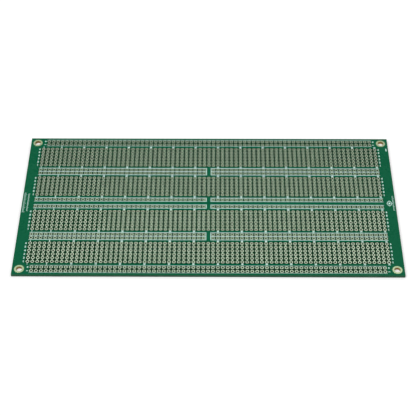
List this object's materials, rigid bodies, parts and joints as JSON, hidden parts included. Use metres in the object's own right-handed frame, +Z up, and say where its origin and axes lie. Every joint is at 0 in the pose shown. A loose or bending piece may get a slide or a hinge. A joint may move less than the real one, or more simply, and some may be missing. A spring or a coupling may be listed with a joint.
{
  "type": "prototype board",
  "caption": "Flat green circuit board drilled with a grid of lead holes, with plated contact strips, power rails in printed frames and a mounting hole in each corner.",
  "frame": {"origin": "centre of the board's outline, at the undersides of the four mounting lands on which it lies", "axes": "+X along the board's long side to the right, +Y from the front side to the back, +Z up out of the printed face"},
  "size_m": [0.2032, 0.1016, 0.0016],
  "materials": {
    "laminate": "semi-gloss solder mask",
    "plating": "satin pale gold plating",
    "print": "matt printed ink"
  },
  "bodies": {
    "root": {"board": "laminate", "mounting_land_back_left": "plating", "mounting_land_back_right": "plating", "mounting_land_front_left": "plating", "mounting_land_front_right": "plating", "contact_strips_back_outer": "plating", "contact_strips_back_inner": "plating", "contact_strips_front_inner": "plating", "contact_strips_front_outer": "plating", "rail_back_edge_outer": "plating", "rail_back_edge_inner": "plating", "rail_front_edge_inner": "plating", "rail_front_edge_outer": "plating", "rail_back_bus_outer_left": "plating", "rail_back_bus_outer_right": "plating", "rail_back_bus_inner_left": "plating", "rail_back_bus_inner_right": "plating", "rail_middle_back_left": "plating", "rail_middle_back_right": "plating", "rail_middle_front_left": "plating", "rail_middle_front_right": "plating", "rail_front_bus_inner_left": "plating", "rail_front_bus_inner_right": "plating", "rail_front_bus_outer_left": "plating", "rail_front_bus_outer_right": "plating", "printed_frame_back_edge": "print", "printed_frame_front_edge": "print", "printed_frame_back_bus_left": "print", "printed_frame_back_bus_right": "print", "printed_frame_middle_back_left": "print", "printed_frame_middle_back_right": "print", "printed_frame_middle_front_left": "print", "printed_frame_middle_front_right": "print", "printed_frame_front_bus_left": "print", "printed_frame_front_bus_right": "print"}
  },
  "joints": []
}
